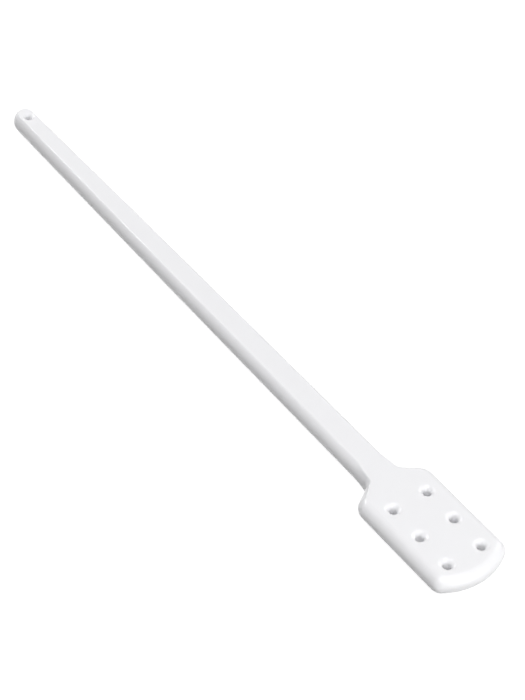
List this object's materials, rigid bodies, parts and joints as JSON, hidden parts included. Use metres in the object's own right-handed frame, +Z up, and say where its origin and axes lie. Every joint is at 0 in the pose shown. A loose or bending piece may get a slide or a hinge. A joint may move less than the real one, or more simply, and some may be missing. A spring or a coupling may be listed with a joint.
{
  "type": "stirring paddle",
  "caption": "Long white moulded stirring paddle with a tapering handle, a hanging hole and a flat blade pierced by holes, stiffened by a buried rod.",
  "frame": {"origin": "under the middle of the paddle's length, on the face that it lies on", "axes": "+Y along the paddle towards the hanging hole, +Z up through the thickness, +X across the blade"},
  "size_m": [0.0676, 0.61, 0.0176],
  "materials": {
    "white_plastic": "glossy moulded white",
    "rod_steel": "drawn bright bar",
    "spacer_plastic": "plain moulded off-white"
  },
  "bodies": {
    "root": {"moulded_body": "white_plastic", "stiffening_rod": "rod_steel", "rod_spacers": "spacer_plastic"}
  },
  "joints": []
}
